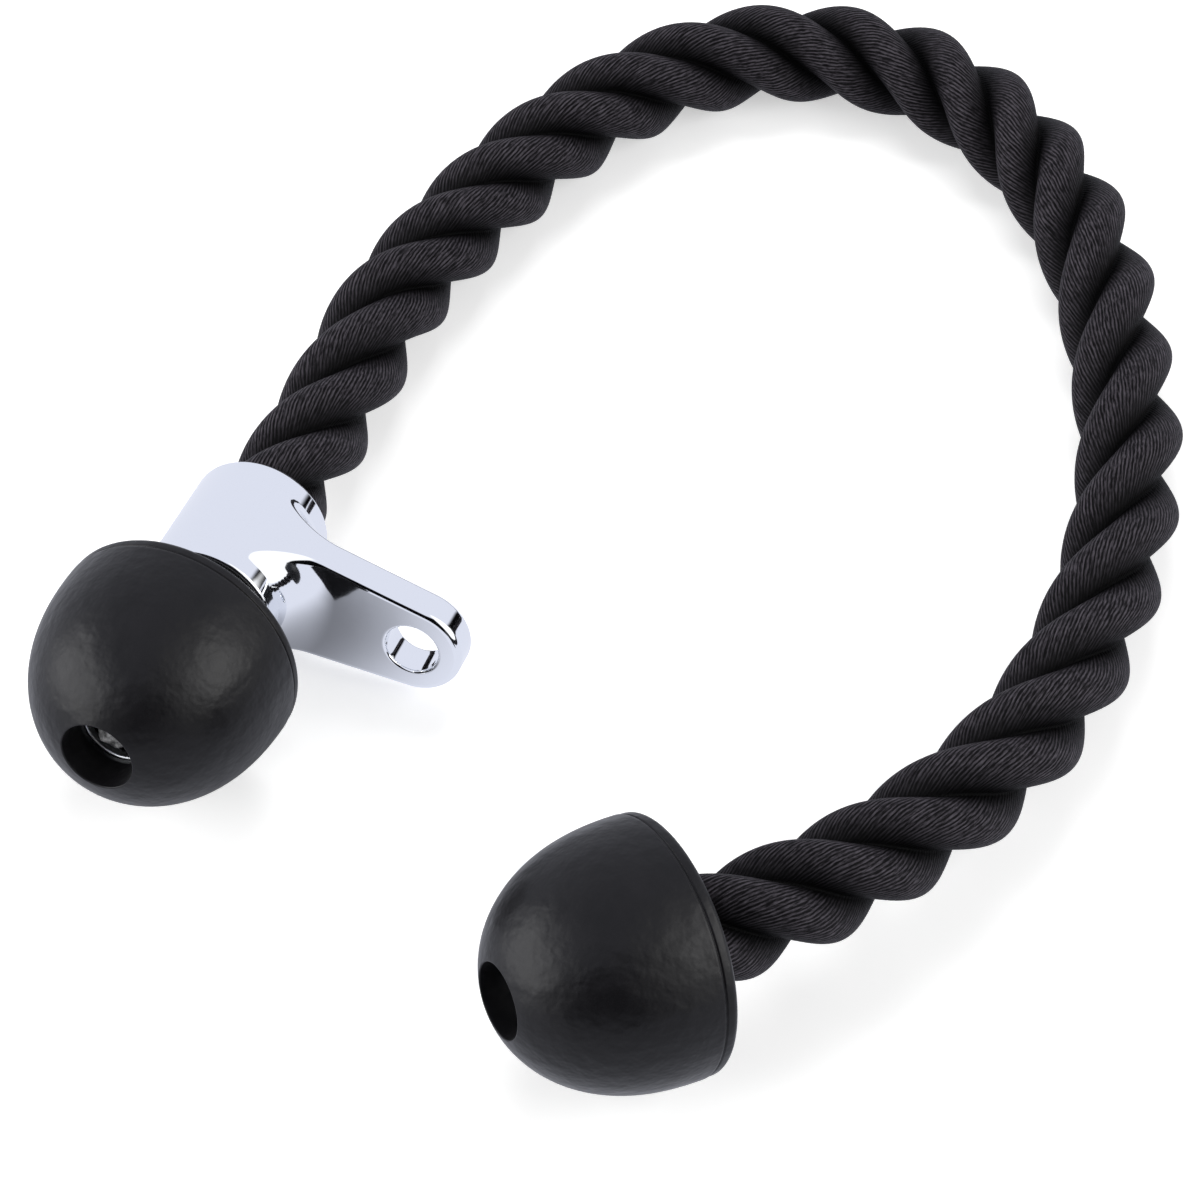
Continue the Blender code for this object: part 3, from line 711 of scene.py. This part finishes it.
def make_camera():
    """The photograph's view: the camera's own axes are its right, its up and their cross product."""
    lens = bpy.data.cameras.new("camera")
    lens.lens, lens.sensor_width = CAMERA_LENS, CAMERA_SENSOR
    lens.clip_start, lens.clip_end = 0.05, 20.0
    made = bpy.data.objects.new("camera", lens)
    bpy.context.scene.collection.objects.link(made)
    right, up = unit(CAMERA_RIGHT), unit(CAMERA_UP)
    turn = Matrix(np.column_stack((right, up, np.cross(right, up))).tolist()).to_4x4()
    made.matrix_world = Matrix.Translation((CAMERA_PLACE - ORIGIN).tolist()) @ turn
    bpy.context.scene.camera = made


def make_floor():
    """A white sheet: pale to the camera with the part's shadow left on it, and plain white far
    away. Mirrors see it lilac-white, with a painted shadow that turns it grey within a few
    centimetres of the spot under ball 1's back."""
    corners = FLOOR_HALF * np.array(((-1, -1, 0), (1, -1, 0), (1, 1, 0), (-1, 1, 0)))
    made = bpy.data.materials.new("white_sheet")
    made.use_nodes = True
    tree = made.node_tree
    tree.nodes.remove(tree.nodes["Principled BSDF"])
    path = put(tree, "LightPath").outputs
    where = put(tree, "TexCoord").outputs["Object"]
    paper = put(tree, "BsdfDiffuse", {"Color": colour("#f4f4f4")})
    glow = put(tree, "Emission", {"Color": WHITE, "Strength": FLOOR_GLOW})
    near = put(tree, "AddShader", {0: paper.outputs[0], 1: glow.outputs[0]})
    plain = put(tree, "Emission", {"Color": WHITE, "Strength": 1.0})
    from_middle = put(tree, "VectorMath", {0: where}, operation="LENGTH").outputs["Value"]
    far = put(tree, "MapRange", {
        "Value": from_middle, "From Min": FLOOR_FADE[0], "From Max": FLOOR_FADE[1],
    }, interpolation_type="SMOOTHSTEP")
    sheet = put(tree, "MixShader", {0: far.outputs[0], 1: near.outputs[0], 2: plain.outputs[0]})
    # Painted shadow: the floor that mirrors see dims to a quarter within a few centimetres of the
    # spot under ball 1's back.
    from_shade = put(
        tree, "VectorMath", {0: where, 1: BALL_SHADE}, operation="DISTANCE").outputs["Value"]
    painted_shadow_strength = put(tree, "MapRange", {
        "Value": from_shade, "From Min": 0.015, "From Max": 0.055, "To Min": 0.25, "To Max": 1.0,
    }, interpolation_type="SMOOTHSTEP")
    mirrored = put(tree, "Emission", {
        "Color": colour(LILAC_WHITE), "Strength": painted_shadow_strength.outputs[0]})
    direct = put(tree, "MixShader", {
        0: path["Is Camera Ray"], 1: paper.outputs[0], 2: sheet.outputs[0]})
    by_mirror = put(tree, "Math", {
        0: path["Is Glossy Ray"], 1: path["Is Transmission Ray"]}, operation="MAXIMUM")
    whole = put(tree, "MixShader", {
        0: by_mirror.outputs[0], 1: direct.outputs[0], 2: mirrored.outputs[0]})
    tree.links.new(whole.outputs[0], tree.nodes["Material Output"].inputs["Surface"])
    piece_of("studio_floor", corners, (np.array(((0, 1, 2, 3),)),), made)


def make_world():
    """White to the camera and plain to the part's dull faces. Mirrors see a lilac-white backdrop
    behind and to the left of the part, a round white screen on its right, cut off straight along
    one upright edge, and otherwise a dark room."""
    world = bpy.data.worlds.new("studio")
    bpy.context.scene.world = world
    world.use_nodes = True
    tree = world.node_tree
    path = put(tree, "LightPath").outputs
    ways = tuple(unit(np.array(BACKDROP_TOWARD))), tuple(unit(np.array(SCREEN_TOWARD))), SCREEN_EDGE
    sky = put(tree, "TexCoord").outputs["Generated"]
    to_backdrop, to_screen, past_edge = (
        put(tree, "VectorMath", {0: sky, 1: way}, operation="DOT_PRODUCT").outputs["Value"]
        for way in ways)
    drop = put(tree, "MapRange", {
        "Value": to_backdrop, "From Min": 0.06, "From Max": 0.16}, interpolation_type="SMOOTHSTEP")
    disc = put(tree, "MapRange", {
        "Value": to_screen, "From Min": 0.70, "From Max": 0.77}, interpolation_type="SMOOTHSTEP")
    side = put(tree, "MapRange", {"Value": past_edge, "From Min": -0.01, "From Max": 0.02})
    screen = put(tree, "Math", {0: disc.outputs[0], 1: side.outputs[0]}, operation="MULTIPLY")
    behind = put(tree, "Mix", {
        "Factor": drop.outputs[0], "A": colour("#08080a"), "B": colour(LILAC_WHITE),
    }, data_type="RGBA")
    room = put(tree, "Mix", {
        "Factor": screen.outputs[0], "A": behind.outputs["Result"], "B": SCREEN_BRIGHT,
    }, data_type="RGBA")
    by_mirror = put(tree, "Math", {
        0: path["Is Glossy Ray"], 1: path["Is Transmission Ray"]}, operation="MAXIMUM")
    tint = put(tree, "Mix", {
        "Factor": by_mirror.outputs[0], "A": WHITE, "B": room.outputs["Result"],
    }, data_type="RGBA")
    seen = put(tree, "Math", {
        0: path["Is Camera Ray"], 1: by_mirror.outputs[0]}, operation="MAXIMUM")
    light = put(tree, "MapRange", {"Value": seen.outputs[0], "To Min": ROOM_LIGHT, "To Max": 1.0})
    background = tree.nodes["Background"]
    tree.links.new(tint.outputs["Result"], background.inputs["Color"])
    tree.links.new(light.outputs[0], background.inputs["Strength"])


def make_lamp(name, toward, distance, size, power, mirrored):
    """A soft box of that width and height, in that direction from LAMP_AIM and aimed back at it."""
    lamp = bpy.data.lights.new(name, "AREA")
    lamp.shape, lamp.size, lamp.size_y, lamp.energy = "RECTANGLE", *size, power
    made = bpy.data.objects.new(name, lamp)
    made.visible_glossy = mirrored
    bpy.context.scene.collection.objects.link(made)
    back = unit(np.array(toward, float))
    side = unit(np.cross((0.0, 0.0, 1.0), back))
    turn = Matrix(np.column_stack((side, np.cross(back, side), back)).tolist()).to_4x4()
    made.matrix_world = Matrix.Translation((back * distance + LAMP_AIM).tolist()) @ turn


def main():
    """Camera and rope first, then the pieces in and on it, then the studio."""
    bpy.context.scene.view_settings.view_transform = "Standard"
    make_camera()
    frames = {name: ball_frame(*at) for name, at in BALLS.items()}
    path = rope_route(frames, PATH_STEPS)
    rope = make_rope(path, laid_polypropylene())
    dressed = [(rope, "rope_and_balls", "rope", "rope_fibre")]
    rubber, zinc, melt, steel = moulded_rubber(), zinc_plate(), melted_fibre(), crimped_steel()
    profile = dense(ball_profile(), BALL_STEP)
    for number, at in frames.items():
        ball = turned("rubber_ball_" + number, profile, at, rubber, BALL_SIDES)
        washer = make_washer("zinc_washer_" + number, at, zinc)
        end = make_fused_end("melted_end_" + number, at, melt, float(number))
        dressed += [
            (ball, "rope_and_balls", "ball_" + number, "ball_rubber"),
            (washer, "rope_and_balls", "washer_" + number, "washer_steel"),
            (end, "rope_and_balls", "fused_end_" + number, "melted_fibre")]
        bpy.data.objects["ferrule_" + number].material_slots[0].material = steel
    at, chrome = bracket_frame(), chrome_plate()
    dressed += [
        (make_sleeve(at, chrome), "bracket", "eye_bracket", "bracket_chrome"),
        (make_lug(at, chrome), "bracket", "eye_bracket", "bracket_chrome"),
        (make_liner(at, black_nylon()), "liner", "collar_liner", "liner_nylon")]
    for piece, body, node, slot in dressed:
        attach(piece, body)
        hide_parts(node)
    make_floor()
    make_world()
    for lamp in LAMPS:
        make_lamp(*lamp)


main()
